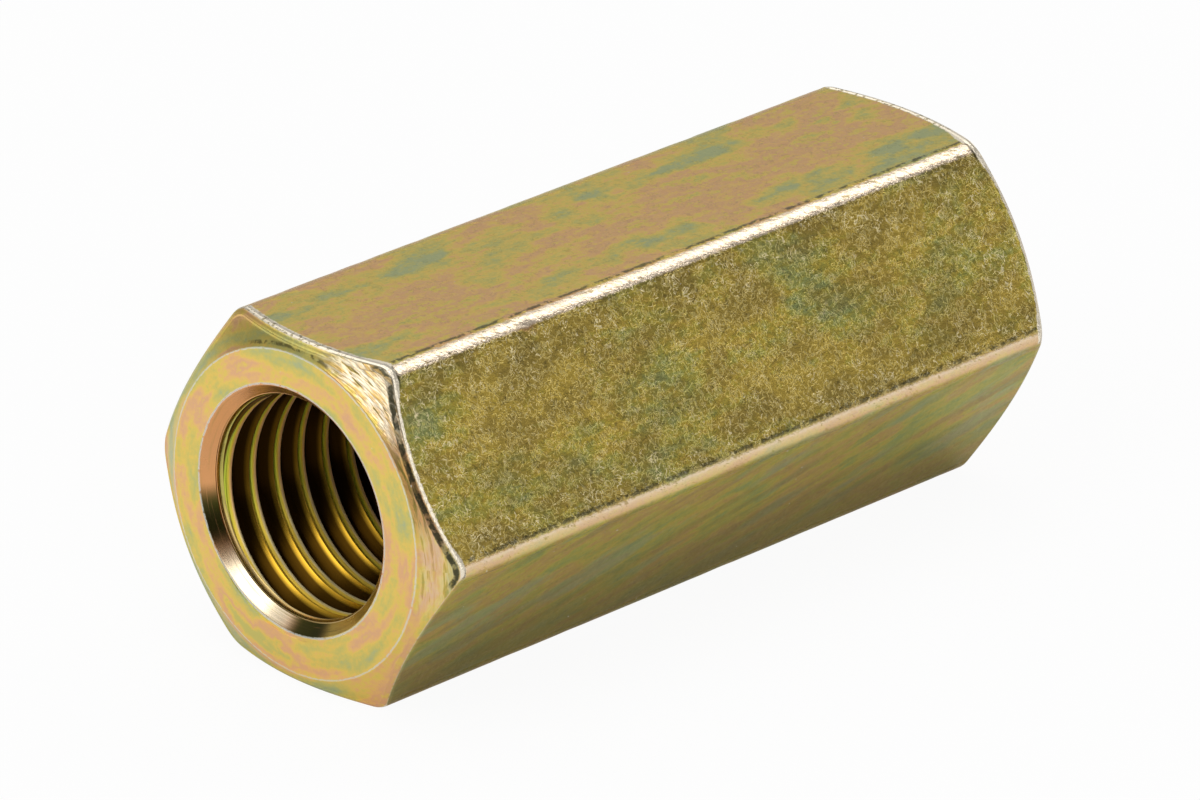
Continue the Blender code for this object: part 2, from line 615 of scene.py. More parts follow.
class Graph:
    """A material's or world's node tree, and the few ways in which nodes are added to it."""

    def __init__(self, tree: bpy.types.NodeTree) -> None:
        """Empties the tree and takes it over."""
        self.tree = tree
        tree.nodes.clear()

    def node(
        self, kind: str, settings: Settings | None = None, values: Values | None = None
    ) -> bpy.types.Node:
        """Adds one node.

        Args:
            kind: The node's type.
            settings: Its properties, set first; "stops" gives a ramp's (position, colour) pairs.
            values: What goes into its sockets, by name or number: a number, a colour or a link.

        Returns:
            The new node.
        """
        node = self.tree.nodes.new(kind)
        for name, setting in (settings or {}).items():
            if name == "stops":
                self.set_stops(node.color_ramp, setting)
            else:
                setattr(node, name, setting)
        for key, value in (values or {}).items():
            self.feed(node.inputs[key], value)
        return node

    def set_stops(self, ramp: bpy.types.ColorRamp, stops: Sequence[Stop]) -> None:
        """Gives a colour ramp its stops.

        Args:
            ramp: The ramp, fresh from its node.
            stops: Positions and colours, in order.
        """
        for element, (position, colour) in zip(ramp.elements, (stops[0], stops[-1])):
            element.position = position
            element.color = (*colour, 1.0)
        for position, colour in stops[1:-1]:
            ramp.elements.new(position).color = (*colour, 1.0)

    def feed(self, socket: bpy.types.NodeSocket, value: Any) -> None:
        """Links a socket, or sets its own value.

        Args:
            socket: The input socket.
            value: A link, a colour or a number.
        """
        if isinstance(value, Signal):
            self.tree.links.new(value.socket, socket)
        elif isinstance(value, bpy.types.NodeSocket):
            self.tree.links.new(value, socket)
        elif socket.type == "RGBA":
            socket.default_value = (*value, 1.0)
        else:
            socket.default_value = value

    def math(self, operation: str, *operands: Operand) -> Signal:
        """One Math node on up to three operands."""
        node = self.node("ShaderNodeMath", {"operation": operation}, dict(enumerate(operands)))
        return Signal(self, node.outputs[0])

    def vector(self, operation: str, *operands: Any, scale: float | None = None) -> bpy.types.NodeSocket:
        """One Vector Math node.

        Args:
            operation: What it does.
            operands: Vectors, as links or as three numbers.
            scale: The number that the operation SCALE multiplies by.

        Returns:
            The vector that the node gives.
        """
        values: dict[str | int, Any] = dict(enumerate(operands))
        if scale is not None:
            values["Scale"] = scale
        return self.node("ShaderNodeVectorMath", {"operation": operation}, values).outputs[0]

    def rise(self, value: Operand, low: float, high: float) -> Signal:
        """A smooth step.

        Args:
            value: The value that drives it.
            low: Where the step is 0.
            high: Where it is 1, which may lie below ``low``.

        Returns:
            The step, from 0 to 1.
        """
        settings = {"interpolation_type": "SMOOTHSTEP"}
        values = {"Value": value, "From Min": min(low, high), "From Max": max(low, high)}
        node = self.node("ShaderNodeMapRange", settings, values)
        step = Signal(self, node.outputs["Result"])
        return step if high > low else 1 - step

    def noise(self, place: Any, grain: Grain) -> Signal:
        """Plain noise.

        Args:
            place: Where the point lies, in millimetres.
            grain: The noise's settings.

        Returns:
            The noise, about 0.5.
        """
        if grain.stretch:
            place = self.vector("MULTIPLY", place, grain.stretch)
        values = {"Scale": grain.scale, "Detail": grain.detail, "Roughness": grain.roughness}
        node = self.node("ShaderNodeTexNoise", None, {"Vector": place, **values})
        return Signal(self, node.outputs["Fac"])

    def swing(self, place: Any, grain: Grain) -> Signal:
        """The same noise, about nought."""
        return self.noise(place, grain) - 0.5

    def spots(self, place: Any, grain: Grain) -> Signal:
        """A mask for where the noise is above its grain's edge."""
        return self.rise(self.noise(place, grain), *grain.edge)

    def worms(self, place: Any, curls: Curls) -> Signal:
        """Short curled lines on a surface.

        Args:
            place: Where the point lies, in millimetres.
            curls: The lines' settings.

        Returns:
            1 on the middle of a line, falling to 0 at its sides and where it breaks off.
        """
        values = {"Vector": place, "Scale": curls.scale, "Detail": curls.detail, "Distortion": curls.twist}
        level = Signal(self, self.node("ShaderNodeTexNoise", None, values).outputs["Fac"])
        drawn = self.spots(self.vector("ADD", place, curls.apart), curls.breaks)
        return self.rise(abs(level - 0.5), curls.half_width, 0.0) * drawn

    def combine(self, x: Operand, y: Operand, z: Operand = 0.0) -> bpy.types.NodeSocket:
        """A vector of three values."""
        return self.node("ShaderNodeCombineXYZ", None, {0: x, 1: y, 2: z}).outputs[0]

    def mix(self, share: Operand, first: Any, second: Any) -> bpy.types.NodeSocket:
        """Mixes two colours: all of the first at 0, all of the second at 1."""
        return self.node("ShaderNodeMix", {"data_type": "RGBA"}, {0: share, 6: first, 7: second}).outputs[2]

    def tint(self, share: Operand, colour: Any, by: Colour) -> bpy.types.NodeSocket:
        """Multiplies a colour by another one, where the share asks for it."""
        return self.mix(share, colour, self.vector("MULTIPLY", colour, by))

    def ramp(self, value: Operand, stops: Sequence[Stop]) -> bpy.types.NodeSocket:
        """Turns a value into a colour."""
        return self.node("ShaderNodeValToRGB", {"stops": stops}, {"Fac": value}).outputs["Color"]


class Zones:
    """Where a point of the nut lies, as signals in millimetres and masks from 0 to 1."""

    def __init__(self, graph: Graph, bar: HexBar, thread: Thread, sink: Countersink) -> None:
        """Works the zones out from the point's own place on the nut.

        Args:
            graph: The material's graph.
            bar: The bar's sizes.
            thread: The thread's sizes.
            sink: The countersink's sizes.
        """
        self.graph = graph
        here = graph.node("ShaderNodeTexCoord").outputs["Object"]
        self.place = graph.vector("SCALE", here, scale=1 / MM)
        parts = graph.node("ShaderNodeSeparateXYZ", None, {0: self.place}).outputs
        self.x, self.y, self.z = (Signal(graph, part) for part in parts)
        self.radius = graph.math("SQRT", self.y * self.y + self.z * self.z)
        self.turn = graph.math("ARCTAN2", self.z, self.y)
        self.end = bar.half / MM - abs(self.x)
        self.flat = bar.flat_radius / MM
        self.pitch = thread.pitch / MM
        # The way round the hexagon, from the nearest corner and from the middle of the flat
        wedge = math.pi / 3
        off = (graph.math("FRACT", self.turn / wedge + 0.5) - 0.5) * wedge
        beside_corner = self.radius * graph.math("SINE", off)
        self.from_corner = abs(beside_corner)
        from_middle = self.radius * graph.math("SINE", abs(off) - math.pi / 6)
        self.across_flat = from_middle * graph.math("SIGN", off)
        # How far inside the bar's section, and how far round a corner's arc in degrees
        below_flat = self.flat - self.radius * graph.math("COSINE", math.pi / 6 - abs(off))
        out = self.radius * graph.math("COSINE", off) - bar.centre_reach / MM
        self.lean = graph.math("ARCTAN2", beside_corner, out) * (180 / math.pi)
        in_corner = graph.math("GREATER_THAN", out * math.tan(math.pi / 6), self.from_corner)
        from_centre = graph.math("SQRT", out * out + self.from_corner * self.from_corner)
        to_arc = bar.corner_radius / MM - from_centre
        self.inside = in_corner * to_arc + (1 - in_corner) * below_flat
        # The bore, with the mouth's cone and the closed strip below it, and the thread
        mouth, ledge, cone = sink.mouth_radius / MM, sink.ledge_depth / MM, sink.cone_depth / MM
        aside, above = (part - away / MM for part, away in zip((self.y, self.z), sink.off_centre))
        self.mouth = graph.math("SQRT", aside * aside + above * above)
        widening = graph.rise(self.end, 0.25, 0.45)
        self.bore = graph.rise(self.mouth - widening, mouth + 0.14, mouth + 0.08)
        self.sink = graph.rise(self.end, ledge + 0.03, ledge + 0.01) * self.bore
        self.ring = graph.rise(self.end, cone + 0.04, cone - 0.01) * self.bore
        self.thread = self.bore * (1 - self.sink)
        turns = (self.x + (bar.half - thread.start) / MM) / self.pitch - self.turn / math.tau
        self.phase = graph.math("FRACT", turns)
        crest = thread.crest_share
        self.crest = graph.rise(self.phase, crest + 0.03, crest + 0.01) * self.thread
        # Painted light: the bore's lower side, where the thread and the strip are painted lit and golden
        self.low = graph.rise(-self.z / self.radius, 0.1, 0.7)
        # The outside: the round face, the chamfer's cone and the flats
        face = bar.face_radius / MM
        self.face = graph.rise(self.end, 0.06, 0.03) * (1 - self.bore)
        self.beyond_cone = self.end - (self.radius - face) * math.tan(bar.chamfer_angle)
        self.flats = graph.rise(self.beyond_cone, 0.02, 0.1) * graph.rise(self.radius, face, face + 0.2)
        self.cone = (1 - self.flats) * (1 - self.face) * (1 - self.bore)

    def height(self, flat: Flat) -> Signal:
        """How far out towards one flat, from the axis."""
        across, up = flat.normal
        return self.y * across + self.z * up

    def on(self, flat: Flat) -> Signal:
        """A mask for one flat, fading out round the corners beside it."""
        return self.graph.rise(self.height(flat), self.flat - 0.10, self.flat - 0.02) * self.flats

    def beside(self, flat: Flat) -> Signal:
        """A mask for one flat and the two corners beside it."""
        return self.graph.rise(self.height(flat), self.flat - 1.3, self.flat - 0.9)

    def sector(self, span: Sector) -> Signal:
        """A mask for some directions about the axis.

        Args:
            span: The middle direction, and how far from it the mask is full and has gone, in degrees.

        Returns:
            The mask.
        """
        way, inner, outer = (math.radians(degrees) for degrees in span)
        aim = (self.y * math.cos(way) + self.z * math.sin(way)) / self.radius
        return self.graph.rise(aim, math.cos(outer), math.cos(inner))

    def band(self, value: Operand, limits: Band) -> Signal:
        """A mask that is 1 where a value lies between two limits.

        Args:
            value: The value.
            limits: The low and the high limit, and how far to either side of each the mask fades.

        Returns:
            The mask.
        """
        low, high, soft = limits
        rising = self.graph.rise(value, low - soft, low + soft)
        return rising * self.graph.rise(value, high + soft, high - soft)


@dataclass(frozen=True)
class YellowZinc:
    """Yellow chromate over zinc: a film whose colour runs from green over gold to copper as it thickens.

    An edge gives the values at which a mask begins and is full. A band gives its low limit, its high limit
    and their softness. A sector gives its middle direction, how far the mask is full and where it has gone.
    Lengths are in millimetres here, and directions about the axis or round a corner in degrees. A weight
    says how much a noise adds to the film's thickness, and a share how much of a coat there is.
    """

    slot: str = "yellow_zinc_plating"
    teal: Colour = (0.43, 0.47, 0.22)
    green: Colour = (0.58, 0.52, 0.14)
    gold: Colour = (0.76, 0.56, 0.115)
    salmon: Colour = (0.78, 0.49, 0.165)
    pink: Colour = (0.73, 0.42, 0.20)
    brown: Colour = (0.36, 0.26, 0.07)
    # A dark brown for the painted shade and the slanting streaks on the undersides, and for the chips in
    # the top lip
    umber_and_shade: Colour = (0.24, 0.18, 0.028)
    sea: Colour = (0.31, 0.40, 0.21)
    straw: Colour = (0.98, 0.85, 0.38)
    cream: Colour = (0.97, 0.88, 0.70)
    corner_highlight_cream: Colour = (1.0, 0.83, 0.64)
    ring_highlight_cream: Colour = (0.84, 0.70, 0.50)
    lip_highlight_cream: Colour = (1.0, 0.90, 0.72)
    # A near-black for the mouth ring's painted dark arcs and the torn copper's streaks
    moss: Colour = (0.045, 0.048, 0.010)
    sheen: Colour = (1.0, 0.86, 0.50)
    painted_lit_strip_gold: Colour = (0.50, 0.35, 0.16)
    peach: Colour = (0.95, 0.70, 0.42)
    silver: Colour = (0.82, 0.82, 0.74)
    # A near-black for the painted shade in the seams and grooves, and for the pits and the chamfer's rays
    soot_and_shade: Colour = (0.06, 0.06, 0.035)
    copper: Colour = (0.80, 0.38, 0.16)
    # Painted shade: the roots and flanks in near-black, the roots' colour also drawing the strip's shadow
    # bands; painted light: the flanks' amber and gold in the lit copy low in the bore
    root: Colour = (0.010, 0.004, 0.0004)
    flank: Colour = (0.014, 0.006, 0.0005)
    flank_top_shade: Colour = (0.085, 0.042, 0.003)
    painted_lit_flank: Colour = (0.045, 0.022, 0.002)
    painted_lit_flank_top: Colour = (0.58, 0.34, 0.03)
    crest_green: Colour = (0.70, 0.84, 0.07)
    crest_gold: Colour = (1.0, 0.72, 0.08)
    crest_pink: Colour = (1.0, 0.60, 0.30)
    # What multiplies the film's colours on the ends, the undersides and the crinkled flats
    lively: Colour = (1.23, 1.23, 1.42)
    lively_chamfer: float = 0.6
    mirrored_floor: Colour = (0.73, 0.80, 0.42)
    dulled: Colour = (0.90, 0.92, 0.72)
    # The film's own patterns
    clouds: Grain = Grain(0.22, 4.0, 0.55, (0.5, 1.0, 1.0))
    streaks: Grain = Grain(1.0, 3.0, 0.6, (0.45, 1.3, 1.3))
    specks: Grain = Grain(3.4, 2.0, 0.6)
    arcs: Grain = Grain(1.0, 3.0, 0.5)
    slanted: Grain = Grain(1.0, 4.0, 0.6)
    edge_breaks: Grain = Grain(0.35, 2.0, 0.5, edge=(0.36, 0.56))
    drift: Grain = Grain(1.0, 3.0, 0.55, edge=(0.50, 0.66))
    beside_edge: Band = (1.9, 3.0, 0.7)
    sea_share: float = 0.6
    mean_thickness: float = 0.52
    crinkled_limit: float = 0.46
    plain_weights: Triple = (2.1, 1.0, 0.5)
    end_weights: Triple = (2.3, 0.45, 0.25)
    underside_weights: Triple = (2.7, 0.5, 0.35)
    # What lies on the flats
    patch_share: float = 0.55
    edge_share: float = 0.25
    patches: Grain = Grain(0.42, 4.0, 0.65, (0.6, 1.0, 1.0), (0.42, 0.60))
    shade: Grain = Grain(1.5, 3.0, 0.6, edge=(0.44, 0.64))
    shade_share: float = 0.4
    # Painted shade on the undersides towards their far edges: on the lower flat, the shadow by the floor
    contact_shade_edge: Edge = (4.5, 10.5)
    contact_shade_share: float = 0.7
    edge_reach: Edge = (4.0, 1.2)
    fine_lines: Curls = Curls(2.3, 0.075, 1.0, 1.0)
    glints: Curls = Curls(1.6, 0.04, 1.5, 0.42)
    pits: Curls = Curls(2.2, 0.06, 1.2, 0.5)
    pits_apart: Triple = (11.0, 5.0, 2.0)
    # The thread and the mouth, with painted light low in the bore, and painted highlights and shade round
    # the mouth's ring
    wander: Grain = Grain(1.0, 3.0, 0.6, (9.0, 2.0, 1.0))
    turned: Grain = Grain(1.0, 3.0, 0.6)
    painted_light_depth: Edge = (14.0, 6.0)
    browned: Edge = (0.5, 0.75)
    darkened: Edge = (0.22, 0.36)
    ring_share: float = 0.96
    strip_share: float = 0.85
    ring_painted_highlight: Sector = (-62, 14, 32)
    ring_painted_gold_highlight: Sector = (-134, 20, 32)
    ring_painted_shade: tuple[Sector, ...] = ((-20, 4, 16), (-99, 5, 16))
    # The corners' painted highlight, with rubbed strokes
    jag: Grain = Grain(2.4, 3.0, 0.65)
    jag_width: float = 0.5
    jag_degrees: float = 30
    strokes: Grain = Grain(1.6, 3.0, 0.65)
    pale_strokes: Edge = (0.5, 0.64)
    dark_strokes: Edge = (0.42, 0.34)
    upper_corner_highlight: Band = (-15, 20, 4)
    lower_corner_highlight: Band = (-29, -8, 4)
    # The chamfer, the lips' painted highlight and the rims
    flow: Grain = Grain(1.0, 3.0, 0.62)
    fan_edge: Edge = (10.35, 10.6)
    fan_share: float = 0.92
    torn_edge: Edge = (0.53, 0.40)
    torn_share: float = 0.6
    copper_sector: Sector = (60, 10, 30)
    worn_sector: Sector = (121, 8, 26)
    left_worn_sector: Sector = (176, 6, 24)
    torn_sector: Sector = (148, 14, 24)
    chip_sector: Sector = (86, 12, 26)
    chips: Grain = Grain(3.0, 3.0, 0.65, edge=(0.53, 0.58))
    fine: Grain = Grain(3.5, 3.0, 0.65)
    chipped_share: float = 0.75
    lip_reach: Edge = (10.7, 10.85)
    lip_sector: Sector = (120, 4, 14)
    lip_corners: tuple[Sector, ...] = ((120, 3, 10), (180, 2, 9))
    lip_width: float = 0.27
    wider_on_top: float = 0.34
    wider_at_corners: float = 0.22
    lip_jag: float = 0.3
    lip_gone_below: float = 0.92
    face_rim: Band = (10.14, 10.24, 0.03)
    mouth_rim: Band = (7.76, 7.88, 0.03)
    rim_jag: float = 0.16
    rim_depth: Edge = (0.22, 0.14)
    rim_worn: Edge = (0.3, 0.45)
    rim_share: float = 0.7
    # The painted shade in the seams and grooves, and the worn line beside them
    breaks: Grain = Grain(1.5, 3.0, 0.6, edge=(0.42, 0.54))
    upper_seam: Band = (-30, -20, 3)
    lower_seam: Band = (-60, -33, 4)
    seam_place: Band = (0.0, 0.95, 0.08)
    groove: Band = (0.08, 0.36, 0.05)
    chip: Band = (10.42, 10.6, 0.05)
    valley: Band = (0.42, 0.6, 0.05)
    valley_reach: Edge = (11.6, 11.9)
    valley_sector: Sector = (120, 3, 6)
    shoulder: Band = (0.55, 1.1, 0.15)
    fleck_share: float = 0.25
    dust_share: float = 0.6
    flecks: Grain = Grain(4.5, 2.0, 0.5, edge=(0.64, 0.68))
    dust: Grain = Grain(2.9, 1.0, 0.5, edge=(0.80, 0.83))
    # The gloss and the relief
    matt: Grain = Grain(0.6, 3.0, 0.6)
    folds: Grain = Grain(2.6, 3.0, 0.6)
    tooth: Grain = Grain(5.0, 2.0, 0.6, (0.7, 1.0, 1.0))
    turning: Grain = Grain(1.0, 2.0, 0.6, (7.0, 0.15, 0.15))
    base_roughness: float = 0.33
    crinkle_heights: tuple[float, float] = (0.016, 0.055)
    plain_heights: tuple[float, float] = (0.002, 0.016)
    tooth_height: float = 0.007
    stroke_height: float = 0.05
    bead_height: float = 0.08
    ray_height: float = 0.22
    turning_height: float = 0.01

    @property
    def film_stops(self) -> list[Stop]:
        """The film's colours in the order of its thickness."""
        colours = (self.teal, self.green, self.gold, self.salmon, self.pink, self.gold, self.green)
        return list(zip((0.0, 0.2, 0.42, 0.54, 0.68, 0.84, 1.0), colours))

    @property
    def ray_stops(self) -> list[Stop]:
        """The colours of the metal that the chamfering tool has drawn out."""
        colours = (self.soot_and_shade, self.brown, self.peach, self.cream, self.salmon)
        return list(zip((0.33, 0.39, 0.43, 0.48, 0.64), colours))

    @property
    def strip_stops(self) -> list[Stop]:
        """The colours of the strip under the mouth's ring, by the distance in from the end, with near-black
        bands as painted shadow.
        """
        colours = (self.root, self.copper, self.salmon, self.root, self.green)
        return list(zip((0.66, 0.72, 0.86, 0.9, 0.95), colours))

    def thread_stops(self, painted_lit: bool) -> list[Stop]:
        """The thread's colours along one pitch, from where a crest begins to the next one, with the flanks
        and roots in painted shade.

        Args:
            painted_lit: Whether this is the bore's lower part, where the plating is painted lit and shines
                golden.

        Returns:
            The ramp's stops.
        """
        root, flank, top = self.root, self.flank, self.flank_top_shade
        first, second, last = self.crest_green, self.crest_gold, self.crest_pink
        if painted_lit:
            flank, top = self.painted_lit_flank, self.painted_lit_flank_top
            first, second, last = self.crest_gold, self.crest_gold, self.sheen
        colours = (top, first, first, second, last, last, root, root, flank, top, top)
        return list(zip((0.0, 0.05, 0.14, 0.20, 0.25, 0.31, 0.35, 0.70, 0.915, 0.99, 1.0), colours))


class Plating:
    """The chromate's colour, gloss and relief over the nut, as expressions on one graph."""

    def __init__(self, zones: Zones, finish: YellowZinc) -> None:
        """Works out what more than one coat needs.

        Args:
            zones: Where each point of the nut lies, on the graph that is built.
            finish: The finish's colours and settings.
        """
        graph = zones.graph
        self.graph, self.zones, self.finish = graph, zones, finish
        self.crinkled = zones.on(Flat.FRONT) + zones.on(Flat.BACK_LOWER)
        self.underside = zones.on(Flat.LOWER) + zones.on(Flat.BACK_UPPER)
        self.front = zones.beside(Flat.FRONT) + zones.beside(Flat.BACK_LOWER)
        self.upper = graph.rise(zones.z, -1.0, 1.0)
        self.edges = graph.rise(zones.from_corner, *finish.edge_reach)
        self.fine_lines = graph.worms(zones.place, finish.fine_lines)
        self.glints = graph.worms(zones.place, finish.glints)
        along = graph.combine(zones.x - zones.turn * (zones.pitch / math.tau), zones.radius)
        self.wander = graph.swing(along, finish.wander)
        self.jag = graph.swing(zones.place, finish.jag) * finish.jag_width
        self.lean = zones.lean + self.jag * finish.jag_degrees
        self.breaks = graph.spots(zones.place, finish.breaks)
        slant = graph.combine(zones.x * 1.2 - zones.lean * 0.03, zones.lean * 0.03, zones.turn)
        self.strokes = graph.noise(slant, finish.strokes)
        twist = zones.turn * 3.0 + zones.radius * 0.8
        self.flow = graph.noise(graph.combine(zones.radius * 3.6 - zones.turn * 4.0, twist), finish.flow)
        self.near_rim = graph.rise(zones.radius, *finish.lip_reach)
        # The lips' painted highlight
        self.lip = self.lip_painted_highlight()
        self.bare = self.rubbed_bare()

    def lip_painted_highlight(self) -> Signal:
        """The painted highlight on the lip where each flat meets the chamfer.

        Returns:
            A mask that is wider on the top flat and at two corners, and nearly gone beside the undersides.
        """
        graph, zones, finish = self.graph, self.zones, self.finish
        upper, left = (zones.sector(span) for span in finish.lip_corners)
        wider = zones.on(Flat.TOP) * finish.wider_on_top + (upper + left) * finish.wider_at_corners
        depth = zones.beyond_cone + graph.swing(zones.place, finish.fine) * finish.lip_jag
        line = graph.rise(depth / (wider + finish.lip_width), 1.0, 0.8) * graph.rise(depth, 0.0, 0.08)
        return line * self.near_rim * zones.flats * (1 - self.underside * finish.lip_gone_below)

    def rubbed_bare(self) -> Signal:
        """The thin light lines and flecks where the film has rubbed off the edges.

        Returns:
            The mask.
        """
        graph, zones, finish = self.graph, self.zones, self.finish
        fine = graph.noise(zones.place, finish.fine)
        jag = (fine - 0.5) * finish.rim_jag
        near_end = graph.rise(zones.end, *finish.rim_depth)
        face_rim = zones.band(zones.radius + jag, finish.face_rim)
        rims = face_rim + zones.band(zones.mouth + jag, finish.mouth_rim)
        flecks = graph.spots(zones.place, finish.flecks)
        shoulder = zones.band(zones.from_corner, finish.shoulder) * self.crinkled
        worn = graph.rise(fine, *finish.rim_worn)
        dust = graph.spots(zones.place, finish.dust) * (1 - zones.bore) * finish.dust_share
        return rims * near_end * worn * finish.rim_share + flecks * shoulder * finish.fleck_share + dust

    def thickness(self) -> Signal:
        """The film's thickness over the nut.

        Returns:
            The thickness, from 0 to 1, where the film's stops give its colour.
        """
        graph, zones, finish = self.graph, self.zones, self.finish
        clouds, streaks, specks = (
            graph.swing(zones.place, grain) for grain in (finish.clouds, finish.streaks, finish.specks)
        )
        round_about = (zones.y / zones.radius * 1.5 + 3.4, zones.z / zones.radius * 1.5 - 1.2)
        arcs = graph.swing(graph.combine(*round_about, zones.radius * 0.6), finish.arcs)
        slant = graph.combine(
            zones.x * 0.16 - zones.across_flat * 0.05, zones.across_flat * 0.5 + zones.x * 0.16, zones.turn
        )
        slanted = graph.swing(slant, finish.slanted)
        ends = zones.face + zones.cone + zones.sink
        plain = (1 - ends) * (1 - self.underside)
        edge_breaks = graph.spots(zones.place, finish.edge_breaks)
        along_edge = zones.band(zones.from_corner, finish.beside_edge) * edge_breaks * zones.on(Flat.TOP)
        middle = graph.rise(zones.from_corner, 1.5, 5.0) * self.crinkled
        leftward = (zones.y * math.cos(math.pi / 3) + zones.z * math.sin(math.pi / 3)) / zones.radius
        cloudy, streaky, specked = finish.plain_weights
        arched, end_streaky, end_specked = finish.end_weights
        drawn, low_streaky, low_specked = finish.underside_weights
        total = (
            finish.mean_thickness
            + (clouds * cloudy + streaks * streaky) * plain
            + specks * plain * specked
            + (arcs * arched + streaks * end_streaky + specks * end_specked - 0.12 - leftward * 0.1) * ends
            + (slanted * drawn + streaks * low_streaky + specks * low_specked) * self.underside
            + zones.cone * zones.sector(finish.copper_sector) * 0.22
            - along_edge * 0.34
            - self.crinkled * 0.13
            - middle * 0.08
            - self.underside * 0.06
        )
        return graph.math("MINIMUM", total, 1 - self.crinkled * (1 - finish.crinkled_limit))

    def film(self) -> Any:
        """The film's own colour.

        Returns:
            The colour, with blue-green patches on the undersides.
        """
        graph, zones, finish = self.graph, self.zones, self.finish
        film = graph.ramp(self.thickness(), finish.film_stops)
        film = graph.tint(zones.face + zones.cone * finish.lively_chamfer, film, finish.lively)
        film = graph.tint(self.underside, film, finish.mirrored_floor)
        film = graph.tint(self.crinkled, film, finish.dulled)
        drift = graph.combine(zones.x * 0.15, zones.across_flat * 0.45 + zones.x * 0.15, zones.turn + 4.0)
        cool = graph.spots(drift, finish.drift) * self.underside
        return graph.mix(cool * finish.sea_share, film, finish.sea)

    def tarnish(self) -> list[Coat]:
        """Browns the crinkled flats in patches, and darkens the undersides in slanting streaks and with
        painted shade towards their edges, which on the lower flat stands for the shadow by the floor.

        Returns:
            Each coat: how much of it lies where, and its colour.
        """
        graph, zones, finish = self.graph, self.zones, self.finish
        patches = graph.spots(zones.place, finish.patches)
        dull = self.crinkled * (patches * finish.patch_share + self.edges * finish.edge_share)
        # Painted shade: darker towards the floor on the lower flat, and towards the top on the flat
        # opposite it
        contact_shade = self.underside * graph.rise(abs(zones.z), *finish.contact_shade_edge) * finish.contact_shade_share
        slant = zones.across_flat * 0.5 + zones.x * 0.16
        place = graph.combine(slant, zones.across_flat * 0.09, zones.turn)
        shade = graph.spots(place, finish.shade) * self.underside * finish.shade_share
        return [(dull, finish.brown), (contact_shade + shade * (1 - contact_shade), finish.umber_and_shade)]

    def lines(self) -> list[Coat]:
        """Draws the dark pits, the fine light lines and the brighter glints.

        Returns:
            Each coat: how much of it lies where, and its colour.
        """
        graph, zones, finish = self.graph, self.zones, self.finish
        pits = graph.worms(graph.vector("ADD", zones.place, finish.pits_apart), finish.pits)
        plain = zones.flats * (1 - self.crinkled)
        rim_side = graph.math("MAXIMUM", self.edges, graph.rise(zones.beyond_cone, 8.0, 1.0))
        return [
            (pits * (self.crinkled * 0.45 + plain * 0.2), finish.soot_and_shade),
            (self.fine_lines * (self.crinkled * 0.36 + plain * 0.08), finish.straw),
            (self.glints * self.crinkled * (rim_side * 0.6 + 0.4), finish.sheen),
        ]

    def threaded(self) -> list[Coat]:
        """Colours the thread by its phase: bright crests, flanks and roots in near-black painted shade, and
        a painted-lit golden copy where it is low near the mouth.

        Returns:
            Each coat: how much of it lies where, and its colour.
        """
        graph, zones = self.graph, self.zones
        phase = graph.math("FRACT", zones.phase + self.wander * 0.05)
        painted_dim, painted_lit = (graph.ramp(phase, self.finish.thread_stops(low)) for low in (False, True))
        # Painted light: the golden copy takes over low in the bore and near the mouth
        near_mouth = graph.rise(zones.end, *self.finish.painted_light_depth)
        return [(zones.thread, graph.mix(zones.low * near_mouth + self.wander * 0.3, painted_dim, painted_lit))]

    def mouth(self) -> list[Coat]:
        """Colours the mouth's turned ring, with painted highlights and painted dark arcs set by the
        direction about the axis, and the closed strip below it.

        Returns:
            Each coat: how much of it lies where, and its colour.
        """
        graph, zones, finish = self.graph, self.zones, self.finish
        turned = graph.noise(graph.combine(zones.mouth * 9.0, zones.turn * 1.2), finish.turned)
        # Painted highlights and shade: the turned ring's colour changes with the direction about the axis,
        # cream and gold in two places and near-black arcs in two others
        rosy = graph.mix(zones.sector(finish.ring_painted_highlight), finish.copper, finish.ring_highlight_cream)
        rosy = graph.mix(zones.sector(finish.ring_painted_gold_highlight) * 0.85, rosy, finish.gold)
        rosy = graph.mix(graph.rise(turned, *finish.browned) * 0.6, rosy, finish.brown)
        left, bottom = (zones.sector(span) for span in finish.ring_painted_shade)
        rosy = graph.mix((left + bottom) * graph.rise(turned, *finish.darkened), rosy, finish.moss)
        strip = graph.ramp(zones.end + self.wander * 0.08, finish.strip_stops)
        # Painted light: the strip's lower side is gold
        strip = graph.mix(zones.low, strip, finish.painted_lit_strip_gold)
        below = zones.sink * (1 - zones.ring)
        return [(zones.ring * finish.ring_share, rosy), (below * finish.strip_share, strip)]

    def corners(self) -> list[Coat]:
        """Paints a pale highlight along the corners beside the crinkled flats, fuller on the upper corner,
        with rubbed slanting strokes in it.

        Returns:
            Each coat: how much of it lies where, and its colour.
        """
        graph, zones, finish, upper = self.graph, self.zones, self.finish, self.upper
        # Painted highlight: pale bands round the corners' arcs, weaker on the lower corner
        above = zones.band(self.lean, finish.upper_corner_highlight) * upper
        rubbed = above + zones.band(self.lean, finish.lower_corner_highlight) * (1 - upper) * 0.6
        pale = graph.mix(upper, finish.peach, finish.corner_highlight_cream)
        pale = graph.mix(graph.rise(self.strokes, *finish.pale_strokes) * 0.6, pale, finish.peach)
        pale = graph.mix(graph.rise(self.strokes, *finish.dark_strokes) * 0.7, pale, finish.brown)
        return [(rubbed * self.front * zones.flats, pale)]

